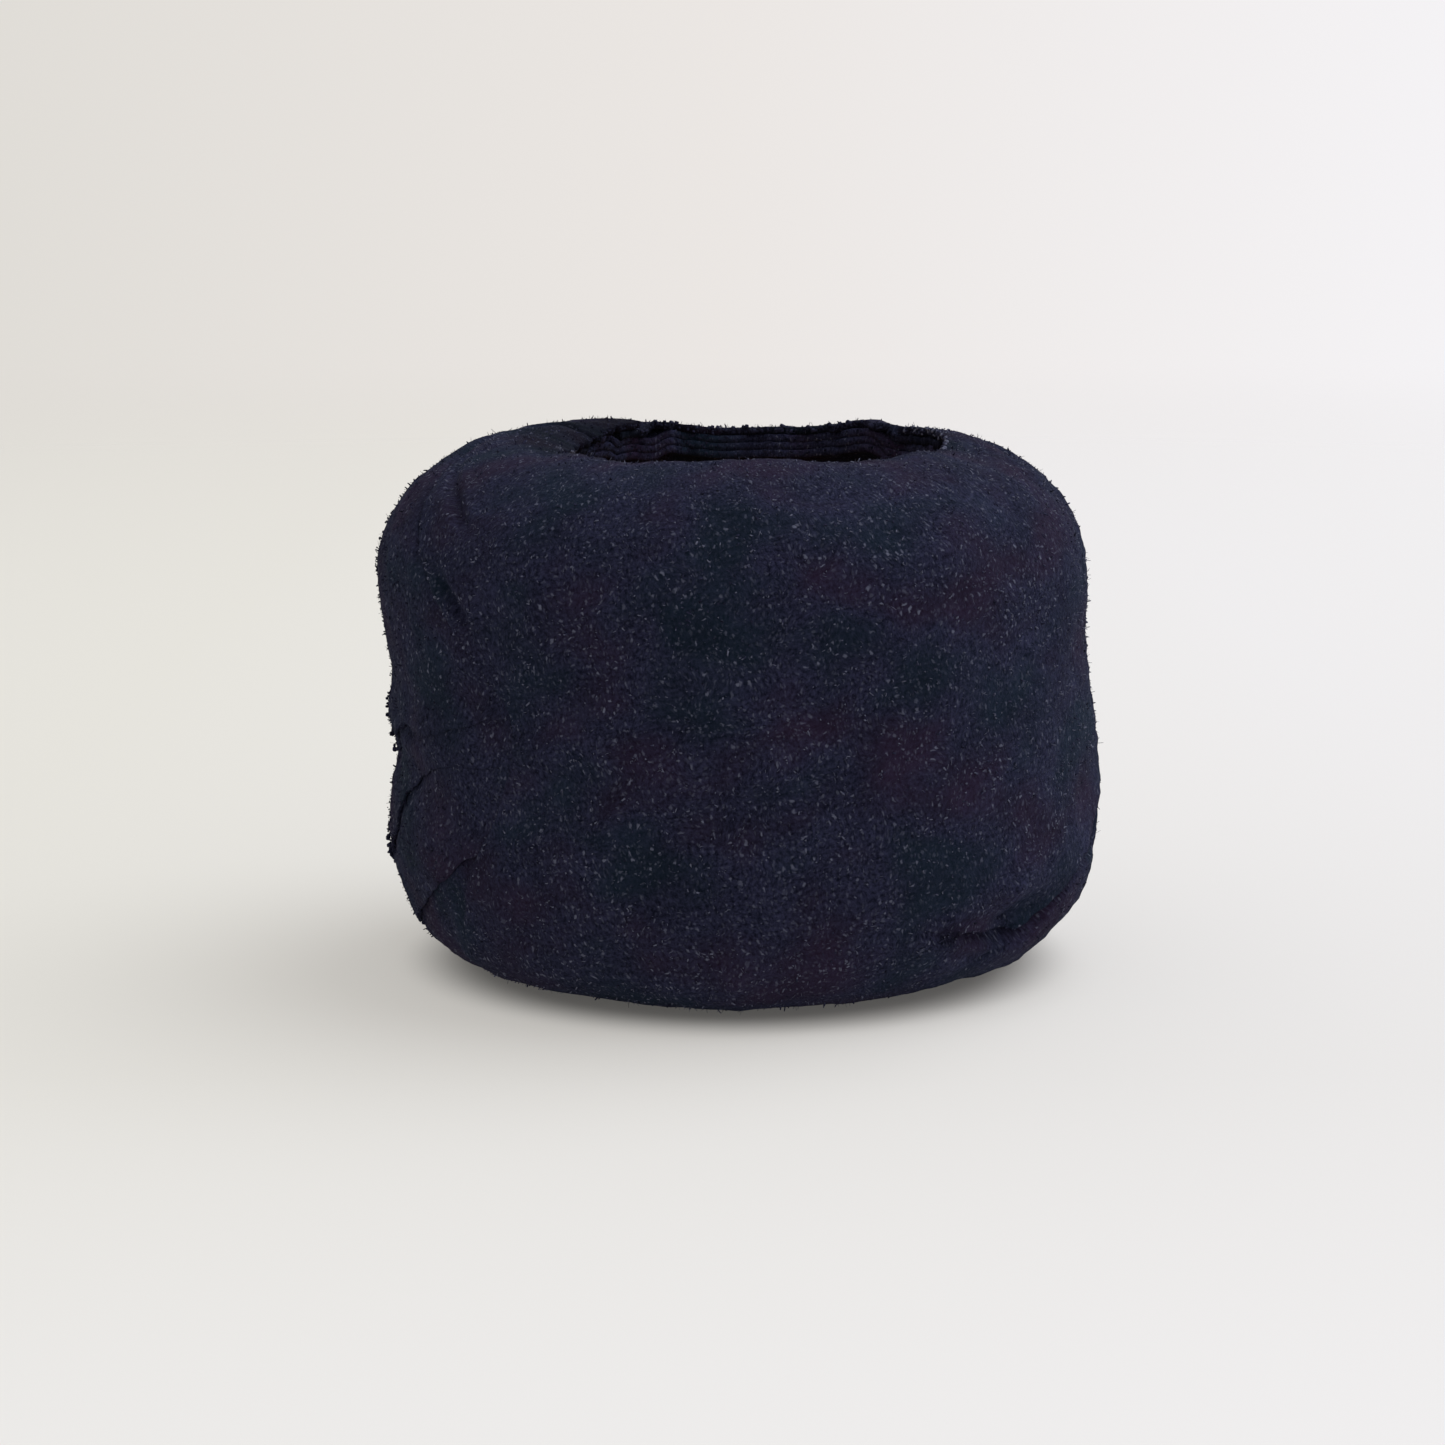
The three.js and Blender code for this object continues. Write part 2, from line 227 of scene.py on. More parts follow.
def crease_depth(azimuth, run):
    """How far the creases press the cloth in, with the soft swelling beside each."""
    total = np.zeros(np.broadcast(azimuth, run).shape)
    around = np.radians(wrap(azimuth)) * RADIUS
    for crease in CREASES:
        nearest = np.full(total.shape, 1e9)
        along = np.zeros(total.shape)
        corners = [(math.radians(wrap(a)) * RADIUS, run_at(z)) for a, z in crease["line"]]
        parts = len(corners) - 1
        for k, ((x0, y0), (x1, y1)) in enumerate(zip(corners, corners[1:])):
            if abs(x1 - x0) > math.pi * RADIUS:
                x1 += math.copysign(2 * math.pi * RADIUS, x0 - x1)
            length2 = (x1 - x0)**2 + (y1 - y0)**2
            gap = np.mod(around - x0 + math.pi * RADIUS, 2 * math.pi * RADIUS) - math.pi * RADIUS
            t = np.clip((gap * (x1 - x0) + (run - y0) * (y1 - y0)) / length2, 0, 1)
            away = np.hypot(gap - t * (x1 - x0), run - y0 - t * (y1 - y0))
            closer = away < nearest
            nearest = np.where(closer, away, nearest)
            along = np.where(closer, (k + t) / parts, along)
        along = np.clip(along, 0, 1)**crease.get("skew", 1)
        fade = np.sin((0.05 + 0.9 * along) * math.pi)
        wide = crease["wide"]
        groove = np.exp(-(nearest / wide)**2) - 0.35 * np.exp(-((nearest / wide - 2.2) / 1.1)**2)
        total += crease["deep"] * fade * groove
    return total


# Soft unevenness of the whole wrap: height, wavelength and the noise's seed.
SOFT = ((0.1, 13, 3), (0.055, 5.5, 4), (0.03, 2.1, 5), (0.022, 0.95, 6))
FLAP = 0.3                 # swelling of the cloth below the front strip's open corner
FLAP_AZIMUTH, FLAP_RUN = 68, run_at(5.8)
FLAP_WIDE, FLAP_HIGH = 13, 2.0      # its half width in degrees and half height
TUCK = 0.46                # how far the cloth is drawn up where it turns under the base
TUCK_AT_SIDES = 0.35       # and the share by which that is more at the sides
TUCK_RUN, TUCK_HIGH = BASE_START - 1.8, 2.6


def place(azimuth, run, depth):
    """The point at an azimuth and run, so far under the drum's outside, wrinkles included."""
    radius, height, out, up = outline(run)
    turn = np.radians(azimuth)
    sine, cosine = np.sin(turn), np.cos(turn)
    flat = np.stack([radius * sine, -radius * cosine, height], -1)
    swell = (left_swell(height) * np.clip(-sine, 0, 1)**1.5
             + right_swell(height) * np.clip(sine, 0, 1)**1.5) * out
    standing = 1 - smoothstep(run, BASE_START - 5, BASE_START)
    soft = sum(high * waves(flat, length, seed) for high, length, seed in SOFT) * standing
    wrapped = wrap(azimuth)
    flap = FLAP * np.exp(-((wrapped - FLAP_AZIMUTH) / FLAP_WIDE)**2
                         - ((run - FLAP_RUN) / FLAP_HIGH)**2)
    tuck = (TUCK * (1 + TUCK_AT_SIDES * np.abs(sine))
            * np.exp(-((run - TUCK_RUN) / TUCK_HIGH)**2))
    proud = swell + soft + flap - tuck - crease_depth(azimuth, run) * standing - depth
    rise = rim_rise(wrapped) * (1 - smoothstep(run, 0, 9)) * smoothstep(run, -LIP_IN * 1.5, 0)
    radius = radius + proud * out
    floor = np.minimum(depth, CLOTH * 8) * (run > BASE_START - 3)
    height = np.maximum(height + proud * up + rise, floor)
    return np.stack([radius * sine, -radius * cosine, height], -1)


# ================= mesh helpers =================

def new_object(name, points, faces, material, corner_uv=None, smooth=True):
    mesh = bpy.data.meshes.new(name)
    mesh.from_pydata((points * MM).tolist(), [],
                     faces if isinstance(faces, list) else faces.tolist())
    if corner_uv is not None:
        layer = mesh.uv_layers.new(name="weave")
        layer.data.foreach_set("uv", corner_uv.astype(np.float32).ravel())
    mesh.polygons.foreach_set("use_smooth", np.full(len(mesh.polygons), smooth))
    mesh.validate()
    mesh.update()
    thing = bpy.data.objects.new(name, mesh)
    bpy.context.collection.objects.link(thing)
    thing.data.materials.append(material)
    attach(thing, "root")
    return thing


def unit(vectors):
    return vectors / np.maximum(np.linalg.norm(vectors, axis=-1, keepdims=True), 1e-9)


def cells(index):
    """The numbers at the four corners of each cell of a grid."""
    return np.stack([index[:-1, :-1], index[1:, :-1], index[1:, 1:], index[:-1, 1:]],
                    -1).reshape(-1, 4)


class Strip:
    """One piece of cloth, laid on a grid of points across (azimuth) and down (run).

    side, drop, depth and thick are functions that say where the points lie. A ring goes all the
    way round and has no side edges. A cup is closed over the middle at its last row.
    """

    def __init__(self, name, node, material, side, drop, depth, thick, across, down,
                 ring=False, cup=False):
        A, D = np.meshgrid(across, down)
        azimuth = side(A, D)
        run = drop(azimuth, D)
        under = depth(azimuth, run)
        self.outer = place(azimuth, run, under)
        self.inner = place(azimuth, run, under + thick(azimuth, run))
        self.ring, self.cup = ring, cup
        self.azimuth, self.run = azimuth, run
        self.name = name
        self.object = self.build(name, material)
        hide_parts(node)

    def build(self, name, material):
        deep, wide = self.azimuth.shape
        if self.cup:
            reach = BASE_END - self.run
            turn = np.radians(self.azimuth)
            weave = np.stack([reach * np.sin(turn), reach * np.cos(turn)], -1)
        else:
            weave = np.stack([np.radians(self.azimuth) * RADIUS, -self.run], -1)
        w = weave.reshape(-1, 2)
        plain = np.arange(deep * wide).reshape(deep, wide)
        index = plain.copy()
        if self.ring:
            index[:, -1] = index[:, 0]
        back = deep * wide
        turned_over = [0, 3, 2, 1]
        face, uv = cells(index), w[cells(plain)]
        faces, uvs = [face, face[:, turned_over] + back], [uv, uv[:, turned_over]]

        def wall(edge, edge_uv, way):
            faces.append(np.stack([edge[1:], edge[:-1], edge[:-1] + back, edge[1:] + back], 1))
            near, far = w[edge_uv], w[edge_uv] + np.array(way) * CLOTH
            uvs.append(np.stack([near[1:], near[:-1], far[:-1], far[1:]], 1))

        wall(index[0, ::-1], plain[0, ::-1], (0, 1))
        if self.cup:
            # The middle is closed by quads that span two columns each.
            ring = [slice(0, -2, 2), slice(1, -1, 2), slice(2, None, 2)]
            first, between, last = (index[-1, part] for part in ring)
            centre = np.full(len(first), 2 * back)
            at_first, at_between, at_last = (w[plain[-1, part]] for part in ring)
            faces.append(np.stack([first, centre, last, between], 1))
            uvs.append(np.stack([at_first, 0 * at_first, at_last, at_between], 1))
            faces.append(np.stack([first + back, between + back, last + back, centre + 1], 1))
            uvs.append(np.stack([at_first, at_between, at_last, 0 * at_first], 1))
        else:
            wall(index[-1], plain[-1], (0, -1))
        if not self.ring:
            wall(index[:, 0], plain[:, 0], (-1, 0))
            wall(index[::-1, -1], plain[::-1, -1], (1, 0))
        centres = [(0, 0, side[-1, :, 2].mean()) for side in (self.outer, self.inner)]
        points = np.concatenate([self.outer.reshape(-1, 3), self.inner.reshape(-1, 3), centres])
        faces, uvs = np.concatenate(faces), np.concatenate(uvs)
        used = np.unique(faces)
        slot_of = np.zeros(len(points), int)
        slot_of[used] = np.arange(len(used))
        return new_object(name, points[used], slot_of[faces], material, uvs)

    def border(self, which):
        """Points along an edge, the way out of the cloth there, and the outward normal."""
        middle = (self.outer + self.inner) / 2
        normal = unit(self.outer - self.inner)
        cut = {"top": (0, 1), "bottom": (-1, -2)}
        if which in cut:
            edge, inside = (middle[k] for k in cut[which])
            return edge, unit(edge - inside), normal[cut[which][0]]
        cut = {"left": (0, 1), "right": (-1, -2)}[which]
        return middle[:, cut[0]], unit(middle[:, cut[0]] - middle[:, cut[1]]), normal[:, cut[0]]


# ================= frayed edges =================

def tubes(roots, ways, bends, lengths, widths, sides=5, rings=4):
    """Points and faces of many short tapered threads."""
    count = len(roots)
    helper = np.where(np.abs(ways[:, 2:3]) < 0.9, [[0, 0, 1.0]], [[1.0, 0, 0]])
    u = unit(np.cross(ways, helper))
    v = np.cross(ways, u)
    t = np.linspace(0, 1, rings)
    centre = (roots[:, None] + ways[:, None] * (lengths[:, None] * t)[..., None]
              + bends[:, None] * (lengths[:, None] * t**2)[..., None])
    radius = widths[:, None] / 2 * (1 - 0.3 * t**3)
    angle = np.linspace(0, 2 * math.pi, sides, endpoint=False)
    ring = (u[:, None, None] * np.cos(angle)[:, None] + v[:, None, None] * np.sin(angle)[:, None])
    body = centre[:, :, None] + ring * radius[..., None, None]
    tip = centre[:, -1] + unit(centre[:, -1] - centre[:, -2]) * radius[:, -1:] * 0.5
    points = np.concatenate([body.reshape(count, -1, 3), tip[:, None]], 1)
    faces = []
    for k in range(rings - 1):
        for s in range(sides):
            n = (s + 1) % sides
            faces.append([k * sides + s, k * sides + n, (k + 1) * sides + n, (k + 1) * sides + s])
    last = (rings - 1) * sides
    faces += [[last + s, last + (s + 1) % sides, rings * sides, rings * sides]
              for s in range(sides)]
    faces += [[0, sides - 1 - s, sides - 2 - s, sides - 2 - s] for s in range(sides - 2)]
    shift = np.arange(count)[:, None, None] * points.shape[1]
    return points.reshape(-1, 3), (np.array(faces)[None] + shift).reshape(-1, 4)


def quads_and_triangles(faces):
    """Face lists, with the quads whose last corner repeats turned into triangles."""
    return [f[:3] if f[2] == f[3] else f for f in faces.tolist()]


# Threads at a cut edge: number for each mm, shortest and longest, thinnest and thickest,
# how far they stand up off the face, and how widely they spread.
STUBS = (5.5, (0.05, 0.16), (0.13, 0.24), 0.1, 0.35)
LUMPS = (4.5, (0.05, 0.22), (0.2, 0.38), 0.8, 0.35)
FUZZ = (7.0, (0.05, 0.17), (0.06, 0.13), 0.4, 0.8)
HAIRS = (2.5, (0.12, 0.35), (0.03, 0.05), 0.3, 0.8)
# Nap on the face: number for each square mm, lengths, widths.
FINE_NAP = (2.0, (0.08, 0.26), (0.02, 0.045))
COARSE_NAP = (1.7, (0.05, 0.2), (0.07, 0.15))


def threads_along(edge, way, normal, kind, share, rng):
    """Random yarn ends that stick out of an edge, as tubes' points and faces."""
    per_mm, length, width, lift, spread = kind
    steps = np.linalg.norm(np.diff(edge, axis=0), axis=1)
    distance = np.concatenate([[0], np.cumsum(steps)])
    count = max(1, int(distance[-1] * per_mm * share))
    at = rng.uniform(0, distance[-1], count)
    edge, way, normal = (np.stack([np.interp(at, distance, a[:, k]) for k in range(3)], 1)
                         for a in (edge, way, normal))
    along = unit(np.cross(way, normal))
    direction = unit(way + normal * rng.normal(lift, spread, (count, 1))
                     + along * rng.normal(0, spread, (count, 1)))
    height = rng.uniform(-0.17, 0.17, (count, 1)) + CLOTH * 0.4 * min(lift, 1)
    root = edge - direction * 0.1 + normal * height
    return tubes(root, direction, rng.normal(0, 0.2, (count, 3)), rng.uniform(*length, count),
                 rng.uniform(*width, count))


def nap(strip, rng, nap_from, nap_to, kind):
    """Fibres that stand off the face of the cloth, between two runs."""
    per_mm2, length, width = kind
    middle = strip.run.mean(1)
    rows = (middle >= nap_from) & (middle <= nap_to)
    face, inner = strip.outer[rows], strip.inner[rows]
    area = np.linalg.norm(np.cross(face[1:, :-1] - face[:-1, :-1], face[:-1, 1:] - face[:-1, :-1]),
                          axis=-1).ravel()
    count = int(area.sum() * per_mm2)
    cell = rng.choice(len(area), count, p=area / area.sum())
    row, column = np.divmod(cell, face.shape[1] - 1)
    s, t = rng.uniform(0, 1, (2, count, 1))
    root = (face[row, column] * (1 - s) * (1 - t) + face[row + 1, column] * s * (1 - t)
            + face[row, column + 1] * (1 - s) * t + face[row + 1, column + 1] * s * t)
    normal = unit(face - inner)[row, column]
    direction = unit(normal + rng.normal(0, 0.75, (count, 3)))
    return tubes(root - direction * 0.03, direction, rng.normal(0, 0.4, (count, 3)),
                 rng.uniform(*length, count), rng.uniform(*width, count), sides=3, rings=3)


def fray(strip, edges, seed, yarn, with_nap=True, nap_from=-10, nap_to=100):
    """The cut yarn ends along a strip's raw edges and the nap on its face, as one piece."""
    rng = np.random.default_rng(seed)
    parts = []
    for which, start, stop, kinds, share in edges:
        edge, way, normal = strip.border(which)
        span = slice(int(start * (len(edge) - 1)), int(stop * (len(edge) - 1)) + 1)
        for kind in kinds:
            parts.append(threads_along(edge[span], way[span], normal[span], kind, share, rng))
    if with_nap:
        parts += [nap(strip, rng, nap_from, nap_to, kind) for kind in (FINE_NAP, COARSE_NAP)]
    offsets = np.cumsum([0] + [len(points) for points, _ in parts])
    points = np.concatenate([points for points, _ in parts])
    points[:, 2] = np.maximum(points[:, 2], 0.02)
    faces = sum((quads_and_triangles(f + offset) for (_, f), offset in zip(parts, offsets)), [])
    thing = new_object(strip.name + "_fray", points, faces, yarn)
    return thing


# ================= materials =================

class Nodes:
    """The nodes of a new material or world, made and linked by short calls."""

    def __init__(self, owner):
        owner.use_nodes = True
        self.owner, self.tree = owner, owner.node_tree
        self.shader = self.tree.nodes.get("Principled BSDF")

    def add(self, kind, inputs=(), **settings):
        node = self.tree.nodes.new(kind)
        for key, value in settings.items():
            setattr(node, key, value)
        for key, value in dict(inputs).items():
            self.put(node.inputs[key], value)
        return node

    def put(self, socket, value):
        if isinstance(value, bpy.types.NodeSocket):
            self.tree.links.new(value, socket)
        else:
            socket.default_value = value

    def math(self, operation, *values):
        node = self.add("ShaderNodeMath", dict(enumerate(values)), operation=operation)
        return node.outputs[0]

    def vector(self, operation, *values):
        node = self.add("ShaderNodeVectorMath", dict(enumerate(values)), operation=operation)
        return node.outputs[0]

    def axis(self, vector, number):
        return self.add("ShaderNodeSeparateXYZ", {"Vector": vector}).outputs[number]

    def coordinates(self, which="Object"):
        return self.add("ShaderNodeTexCoord").outputs[which]

    def mapped(self, vector, **values):
        """A vector turned, shifted or stretched: the keys are the Mapping node's sockets."""
        return self.add("ShaderNodeMapping", {"Vector": vector, **values}).outputs[0]

    def noise(self, vector, scale, detail, roughness=0.5):
        return self.add("ShaderNodeTexNoise", {"Vector": vector, "Scale": scale, "Detail": detail,
                                               "Roughness": roughness}).outputs["Fac"]

    def spread(self, value, low, high, to_low=0.0, to_high=1.0, smooth=False):
        """A value between low and high, moved to between to_low and to_high and held there."""
        node = self.add("ShaderNodeMapRange", {"Value": value, "From Min": low, "From Max": high,
                                               "To Min": to_low, "To Max": to_high},
                        interpolation_type="SMOOTHSTEP" if smooth else "LINEAR")
        return node.outputs[0]

    def bump(self, height, strength, distance):
        """The shader's relief, with distance in millimetres."""
        node = self.add("ShaderNodeBump", {"Strength": strength, "Distance": distance * MM,
                                           "Height": height})
        self.surface({"Normal": node.outputs[0]})

    def surface(self, values):
        """Set the shader's own sockets, each to a plain value or to another node's output."""
        for key, value in values.items():
            self.put(self.shader.inputs[key], value)

    def ramp(self, value, *stops):
        node = self.add("ShaderNodeValToRGB", {"Fac": value})
        elements = node.color_ramp.elements
        while len(elements) < len(stops):
            elements.new(0.5)
        for element, (position, colour) in zip(elements, stops):
            element.position = position
            element.color = (*colour, 1) if hasattr(colour, "__len__") else (colour,) * 3 + (1,)
        return node.outputs["Color"]

    def blend(self, factor, a, b):
        node = self.add("ShaderNodeMix", data_type="RGBA")
        for socket, value in ((node.inputs[0], factor), (node.inputs[6], a), (node.inputs[7], b)):
            self.put(socket, value)
        return node.outputs[2]


NAVY = (0.0028, 0.0033, 0.0105)
NAVY_LIGHT = (0.029, 0.0302, 0.0622)
PLUM = (0.0195, 0.0087, 0.0215)
TEAL = (0.005, 0.0132, 0.0205)
SLUB = (0.118, 0.125, 0.175)
YARN_PITCH = 0.3           # from one yarn of the weave to the next
MOUTH_SHADE_BAND = (-1.2, 0.6)     # where painted shade darkens the cloth towards the mouth, with the rim at 0


def cloth_material(name, turn, lip=1.0, tone=1.0):
    """Dark navy cloth with pale slubs. turn is the weave's slant on this strip, in degrees.

    tone is painted light: how much brighter the whole strip is drawn against the others, to lift
    it where it lies in shade. lip is painted shade: how bright the strip is drawn where it turns
    in to the mouth, against the rest of it.
    """
    n = Nodes(bpy.data.materials.new(name))
    weave = n.add("ShaderNodeUVMap", uv_map="weave").outputs[0]
    turned = n.mapped(weave, Rotation=(0, 0, math.radians(turn)))

    def warped(vector, scale, amount):
        """The coordinates pushed about by noise, so nothing on them runs straight."""
        noise = n.add("ShaderNodeTexNoise", {"Vector": vector, "Scale": scale, "Detail": 1.0})
        middle = n.vector("SUBTRACT", noise.outputs["Color"], (0.5, 0.5, 0.5))
        return n.vector("ADD", vector, n.vector("MULTIPLY", middle, (amount, amount, 0.0)))

    cloth_at = warped(turned, 0.35, 1.2)
    ragged_at = warped(cloth_at, 4.0, 0.3)

    def grain(scale, detail=2.0, roughness=0.5):
        """Noise with its own scale along each way of the weave."""
        return n.noise(n.mapped(cloth_at, Scale=scale), 1.0, detail, roughness)

    def slubs(width, length, keep, size, shift):
        """Pale flecks: one to a cell, each with a chance of being there and its own strength."""
        at = n.mapped(ragged_at, Location=shift, Scale=(1 / width, 1 / length, 1))
        spots = n.add("ShaderNodeTexVoronoi", {"Vector": at, "Scale": 1.0, "Randomness": 1.0},
                      voronoi_dimensions="2D")
        chance = n.add("ShaderNodeSeparateColor", {"Color": spots.outputs["Color"]})
        near = n.spread(spots.outputs["Distance"], size, size * 0.3, smooth=True)
        there = n.spread(chance.outputs[0], 1 - keep, 1.0)
        return n.math("MULTIPLY", near, n.math("POWER", there, 1.4))

    strong = n.math("MAXIMUM", slubs(0.46, 0.75, 0.4, 0.24, (0, 0, 0)),
                    slubs(0.85, 0.5, 0.3, 0.19, (7.1, 3.3, 0)))
    small = slubs(0.24, 0.32, 0.62, 0.42, (5.3, 2.7, 0))
    patches = n.ramp(grain((0.2, 0.2, 1)), (0.32, 0.45), (0.62, 1.0))
    flecks = n.math("MAXIMUM", strong, n.math("MULTIPLY", small, 0.34))
    flecks = n.math("MULTIPLY", flecks, patches)

    fibres = grain((4.2, 3.6, 1), 4.0, 0.78)
    weft = grain((0.5, 3.3, 1))
    warp = grain((3.3, 0.6, 1))
    heather = n.math("MULTIPLY_ADD", fibres, 0.74,
                     n.math("MULTIPLY", n.math("ADD", weft, warp), 0.13))
    tint = grain((0.1, 0.16, 1), 2.0)
    base = n.blend(n.ramp(heather, (0.4, 0.0), (0.63, 1.0)), (*NAVY, 1), (*NAVY_LIGHT, 1))
    base = n.blend(n.math("MULTIPLY", n.ramp(tint, (0.5, 0.0), (0.64, 1.0)), 0.6), base,
                   (*PLUM, 1))
    base = n.blend(n.math("MULTIPLY", n.ramp(tint, (0.36, 1.0), (0.48, 0.0)), 0.6), base,
                   (*TEAL, 1))
    shade = n.ramp(grain((0.22, 0.3, 1), 3.0), (0.3, 0.8), (0.7, 1.2))
    # Painted light: tone brightens the whole strip.
    shade = n.math("MULTIPLY", shade, tone)
    base = n.vector("MULTIPLY", base, shade)
    # Painted shade: the cloth and its flecks are drawn darker where they turn in over the rim.
    painted_mouth_shade = n.spread(n.axis(weave, 1), *MOUTH_SHADE_BAND, 1.0, lip)
    base = n.vector("MULTIPLY", base, painted_mouth_shade)
    flecks_in_mouth_shade = n.math("MULTIPLY", flecks, painted_mouth_shade)

    over, under = (n.math("SINE", n.math("MULTIPLY", n.axis(cloth_at, way), math.pi / YARN_PITCH))
                   for way in (0, 1))
    crossing = n.math("ABSOLUTE", n.math("MULTIPLY", over, under))
    relief = n.math("ADD", n.math("MULTIPLY", crossing, 0.12), n.math("MULTIPLY", flecks, 0.4))
    relief = n.math("ADD", relief, n.math("MULTIPLY", fibres, 1.9))
    n.bump(relief, 0.85, 0.12)
    n.surface({"Base Color": n.blend(flecks_in_mouth_shade, base, (*SLUB, 1)), "Roughness": 0.95,
               "Specular IOR Level": 0.05, "Sheen Weight": 0.03, "Sheen Roughness": 0.5,
               "Sheen Tint": (0.35, 0.47, 1.0, 1)})
    return n.owner


def yarn_material(name, pale):
    """Cut yarn ends: navy, with pale ones where noise passes the level pale."""
    n = Nodes(bpy.data.materials.new(name))
    at = n.coordinates()
    colour = n.ramp(n.noise(at, 1.6 / MM, 2.0), (0.3, NAVY), (pale - 0.06, NAVY_LIGHT),
                    (pale, (0.1, 0.105, 0.15)))
    n.bump(n.noise(at, 9 / MM, 1.0), 0.4, 0.03)
    n.surface({"Base Color": colour, "Roughness": 0.95, "Specular IOR Level": 0.1})
    return n.owner


def rosin_material():
    """Cast amber resin: glassy where it broke from the mould, dusty where the bow has worn it."""
    n = Nodes(bpy.data.materials.new("amber_rosin"))
    at = n.coordinates()
    amber = n.ramp(n.noise(at, 0.12 / MM, 4.0), (0.3, (0.1, 0.028, 0.005)),
                   (0.55, (0.3, 0.1, 0.018)), (0.75, (0.5, 0.2, 0.045)))
    along = n.mapped(at, Rotation=(0, 0, -GROOVE_TURN))
    streaks = n.noise(n.mapped(along, Scale=(0.08 / MM, 3 / MM, 3 / MM)), 1.0, 4.0)
    worn = n.spread(n.math("ABSOLUTE", n.axis(along, 1)), GROOVE_WIDTH * 0.62 * MM,
                    GROOVE_WIDTH * 0.3 * MM)
    dust = n.math("MULTIPLY", worn, n.ramp(streaks, (0.35, 0.1), (0.62, 0.85)))
    specks = n.noise(at, 1.8 / MM, 5.0)
    dust = n.math("MAXIMUM", dust, n.ramp(specks, (0.56, 0.0), (0.7, 0.6)))
    n.bump(n.math("ADD", streaks, n.math("MULTIPLY", specks, 0.5)), 0.5, 0.08)
    n.surface({"Base Color": n.blend(dust, amber, (0.62, 0.5, 0.36, 1)),
               "Roughness": n.math("MULTIPLY_ADD", dust, 0.65, 0.16), "IOR": 1.54})
    return n.owner


def card_material():
    """Grey-brown pressed card with fibres and a few dark specks."""
    n = Nodes(bpy.data.materials.new("grey_card"))
    at = n.coordinates()
    pulp = n.noise(at, 0.9 / MM, 5.0)
    colour = n.ramp(pulp, (0.3, (0.16, 0.125, 0.085)), (0.55, (0.26, 0.2, 0.135)),
                    (0.72, (0.34, 0.27, 0.19)))
    specks = n.add("ShaderNodeTexVoronoi", {"Vector": at, "Scale": 0.7 / MM})
    dark = n.ramp(specks.outputs["Distance"], (0.05, 0.7), (0.12, 0.0))
    n.bump(pulp, 0.4, 0.05)
    n.surface({"Base Color": n.blend(dark, colour, (0.07, 0.05, 0.035, 1)), "Roughness": 0.9})
    return n.owner


GROOVE_DEPTH = 0.9         # of the channel that the bow has worn in the rosin
GROOVE_WIDTH = 11
GROOVE_TURN = math.radians(25)

# The last number on the first two is painted shade, where the cloth turns in to the mouth.
FRONT_CLOTH = cloth_material("flecked_cloth_upright", -14, 0.35)
LEFT_CLOTH = cloth_material("flecked_cloth_left", 24, 0.22)
TILTED_CLOTH = cloth_material("flecked_cloth_tilted", 24)
# Painted light: the inner turns are drawn 1.4 times brighter, to lift the mouth's inner wall out
# of its shade.
INNER_CLOTH = cloth_material("flecked_cloth_inner", 6, tone=1.4)
YARN = yarn_material("yarn_ends", 0.56)
DARK_YARN = yarn_material("dark_yarn_ends", 0.8)


# ================= the strips =================

# Edges, each through (azimuth, height) points measured on the wrap.
def edge_by_run(points):
    """An edge that runs down: its azimuth, by run."""
    return line_through([(run_at(z) if z < HEIGHT else 0.0, azimuth) for azimuth, z in points])


def edge_by_azimuth(points, known=()):
    """An edge that runs round: its run, by azimuth. known are points given as (azimuth, run)."""
    return line_through([(azimuth, run_at(z)) for azimuth, z in points] + list(known))


front_left = edge_by_run([(-118, HEIGHT), (-103, 33.3), (-90, 32.9), (-73, 31.9), (-65.5, 30.6),
                          (-60, 29), (-54.5, 27.2), (-50, 25.4), (-46, 23.9), (-42, 22.2),
                          (-37, 20.2), (-36, 18), (-40, 14), (-46, 9), (-50, 5), (-52, 1)])
front_right = edge_by_run([(128, HEIGHT), (112, 33.45), (97, 33), (89.5, 31.5), (87.5, 29),
                           (86, 25), (84.8, 20), (85.5, 14), (86.5, 12), (87.5, 9.5), (88, 5)])
left_end = edge_by_run([(-150, HEIGHT), (-125, 33.2), (-104, 31), (-93, 28.6), (-87, 26.5),
                        (-85.5, 21), (-84.5, 14.4), (-84, 8), (-83, 2)])
UNDER_EDGE = BASE_START + 1.5
front_bottom = edge_by_azimuth([(36, 1.2), (41, 2.9), (46, 4.2), (53, 5.1), (58, 6.3), (63, 7.6),
                                (69, 8.7), (74, 9.7), (79, 10.7), (88, 11.8)],
                               known=[(31, UNDER_EDGE)])
left_bottom = edge_by_azimuth([(-86, 13.9), (-82, 14.3), (-71, 16.4), (-57, 16.6), (-36, 18.5)])
waist_bottom = edge_by_azimuth([(-86, 6.4), (-80, 8.2), (-75, 9.8), (-71, 11.5), (-66, 12.9),
                                (-57, 14.4), (-44, 15.2)])
lower_bottom = edge_by_azimuth([(-88, 1.8), (-80, 2.6), (-64, 5.2), (-52, 7.8), (-43, 10)])

# How deep the hollow is behind the front strip's open lower corner, by azimuth, and how far
# below the edge it stays open.
pocket_depth = line_through([(40, 0), (47, 0.5), (54, 0.7), (62, 0.65), (70, 0.45), (80, 0.35),
                             (90, 0.2), (100, 0)])
SIDE_POCKET = 1.15         # and how deep it is at the side, where it stands widest open
pocket_open = line_through([(42, 0.2), (50, 0.35), (58, 0.3), (70, 0.25), (90, 0.2)])
LAP = 9                    # degrees that a strip runs on under the next
RAMP = 5                   # degrees in which it sinks there


def columns_for(degrees):
    return np.linspace(0, 1, int(math.radians(degrees) * RADIUS / GRID) + 1)


def rows_for(length):
    return np.linspace(0, 1, int(length / GRID) + 1)


